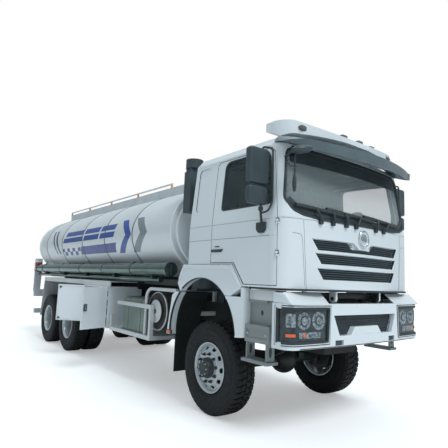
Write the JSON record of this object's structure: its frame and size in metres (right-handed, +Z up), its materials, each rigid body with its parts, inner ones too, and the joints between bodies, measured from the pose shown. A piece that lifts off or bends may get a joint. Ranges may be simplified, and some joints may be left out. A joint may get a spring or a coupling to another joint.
{
  "type": "tanker truck",
  "caption": "Forward-control all-wheel-drive tanker truck with a white tilting cab, an oval silver tank, hose tubes, a side pump cabinet with open leaves and twin rear wheels.",
  "frame": {"origin": "on the ground, on the truck's middle plane, below the middle of its overall length", "axes": "+X forward, +Y to the vehicle's left, +Z up"},
  "size_m": [9.67, 3.3068, 3.4528],
  "materials": {
    "white_paint": "gloss",
    "tank_silver": "satin metallic",
    "frame_black": "satin",
    "step_grey": "matte",
    "guard_grey": "satin",
    "bare_steel": "brushed",
    "bare_aluminium": "satin",
    "wheel_silver": "satin",
    "cast_dark": "matte",
    "tyre_rubber": "matte",
    "flap_rubber": "matte",
    "trim_plastic": "grained",
    "visor_plastic": "smoked",
    "interior_grey": "grained",
    "lamp_clear": "clear",
    "cab_glass": "tinted"
  },
  "bodies": {
    "chassis": {"chassis_frame": "frame_black", "engine_block": "cast_dark", "front_axle": "frame_black", "rear_axles": "frame_black", "leaf_springs": "frame_black", "drive_shafts": "cast_dark", "bumper": "white_paint", "lamps": "lamp_clear", "cab_steps": "step_grey", "lower_fenders": "white_paint", "mudflaps": "flap_rubber", "rear_mudguards": "guard_grey", "tank_subframe": "frame_black", "tank": "tank_silver", "tank_bands": "bare_steel", "walkway": "bare_aluminium", "hose_tubes": "bare_steel", "side_guards": "guard_grey", "silencer": "cast_dark", "fuel_tank": "bare_aluminium", "air_tanks": "cast_dark", "pump_cabinet": "white_paint", "discharge_pipes": "bare_steel", "rear_board": "frame_black", "rear_ladder": "bare_aluminium", "air_intake": "trim_plastic"},
    "cab": {"cab_shell": "white_paint", "windscreen": "cab_glass", "sun_visor": "visor_plastic", "roof_guide": "white_paint", "upper_fenders": "white_paint", "cab_interior": "interior_grey", "wipers": "trim_plastic", "look_down_mirror": "visor_plastic"},
    "cab_door_left": {"door_left": "white_paint", "door_glass_left": "cab_glass", "mirror_left": "trim_plastic"},
    "cab_door_right": {"door_right": "white_paint", "door_glass_right": "cab_glass", "mirror_right": "trim_plastic"},
    "cabinet_leaf_front": {"cabinet_door_front": "white_paint"},
    "cabinet_leaf_rear": {"cabinet_door_rear": "white_paint"},
    "lid_front": {"manhole_lid_front": "bare_aluminium"},
    "lid_rear": {"manhole_lid_rear": "bare_aluminium"},
    "steer_left": {"knuckle_left": "cast_dark"},
    "steer_right": {"knuckle_right": "cast_dark"},
    "wheel_front_left": {"front_tyre_left": "tyre_rubber", "front_wheel_left": "wheel_silver"},
    "wheel_rear_1_left": {"rear_tyres_1_left": "tyre_rubber", "rear_wheels_1_left": "wheel_silver"},
    "wheel_rear_2_left": {"rear_tyres_2_left": "tyre_rubber", "rear_wheels_2_left": "wheel_silver"},
    "wheel_front_right": {"front_tyre_right": "tyre_rubber", "front_wheel_right": "wheel_silver"},
    "wheel_rear_1_right": {"rear_tyres_1_right": "tyre_rubber", "rear_wheels_1_right": "wheel_silver"},
    "wheel_rear_2_right": {"rear_tyres_2_right": "tyre_rubber", "rear_wheels_2_right": "wheel_silver"}
  },
  "joints": [
    {"name": "cab_tilt", "type": "hinge", "parent": "chassis", "child": "cab", "pos_m": [4.525, 0, 1.47], "axis": [0, 1, 0], "range_deg": [0, 50]},
    {"name": "door_left_hinge", "type": "hinge", "parent": "cab", "child": "cab_door_left", "pos_m": [4.421, 1.241, 2.2], "axis": [0, 0, -1], "range_deg": [0, 70]},
    {"name": "door_right_hinge", "type": "hinge", "parent": "cab", "child": "cab_door_right", "pos_m": [4.421, -1.241, 2.2], "axis": [0, 0, 1], "range_deg": [0, 70]},
    {"name": "cabinet_front_hinge", "type": "hinge", "parent": "chassis", "child": "cabinet_leaf_front", "pos_m": [0.23, -1.263, 1.07], "axis": [0, 0, 1], "range_deg": [-112, 30]},
    {"name": "cabinet_rear_hinge", "type": "hinge", "parent": "chassis", "child": "cabinet_leaf_rear", "pos_m": [-0.88, -1.263, 1.07], "axis": [0, 0, -1], "range_deg": [-135, 20]},
    {"name": "lid_front_hinge", "type": "hinge", "parent": "chassis", "child": "lid_front", "pos_m": [0.041, 0, 3.274], "axis": [0, -1, 0], "range_deg": [0, 110]},
    {"name": "lid_rear_hinge", "type": "hinge", "parent": "chassis", "child": "lid_rear", "pos_m": [-2.959, 0, 3.274], "axis": [0, -1, 0], "range_deg": [0, 110]},
    {"name": "steer_left", "type": "hinge", "parent": "chassis", "child": "steer_left", "pos_m": [3.225, 0.82, 0.56], "axis": [0, 0, 1], "range_deg": [-35, 35]},
    {"name": "steer_right", "type": "hinge", "parent": "chassis", "child": "steer_right", "pos_m": [3.225, -0.82, 0.56], "axis": [0, 0, 1], "range_deg": [-35, 35]},
    {"name": "spin_front_left", "type": "hinge", "parent": "steer_left", "child": "wheel_front_left", "pos_m": [3.225, 1.02, 0.56], "axis": [0, 1, 0], "continuous": true},
    {"name": "spin_rear_1_left", "type": "hinge", "parent": "chassis", "child": "wheel_rear_1_left", "pos_m": [-1.865, 0.905, 0.56], "axis": [0, 1, 0], "continuous": true},
    {"name": "spin_rear_2_left", "type": "hinge", "parent": "chassis", "child": "wheel_rear_2_left", "pos_m": [-3.265, 0.905, 0.56], "axis": [0, 1, 0], "continuous": true},
    {"name": "spin_front_right", "type": "hinge", "parent": "steer_right", "child": "wheel_front_right", "pos_m": [3.225, -1.02, 0.56], "axis": [0, 1, 0], "continuous": true},
    {"name": "spin_rear_1_right", "type": "hinge", "parent": "chassis", "child": "wheel_rear_1_right", "pos_m": [-1.865, -0.905, 0.56], "axis": [0, 1, 0], "continuous": true},
    {"name": "spin_rear_2_right", "type": "hinge", "parent": "chassis", "child": "wheel_rear_2_right", "pos_m": [-3.265, -0.905, 0.56], "axis": [0, 1, 0], "continuous": true}
  ],
  "couplings": [
    {"joint": "steer_right", "follows": "steer_left", "ratio": 1}
  ]
}
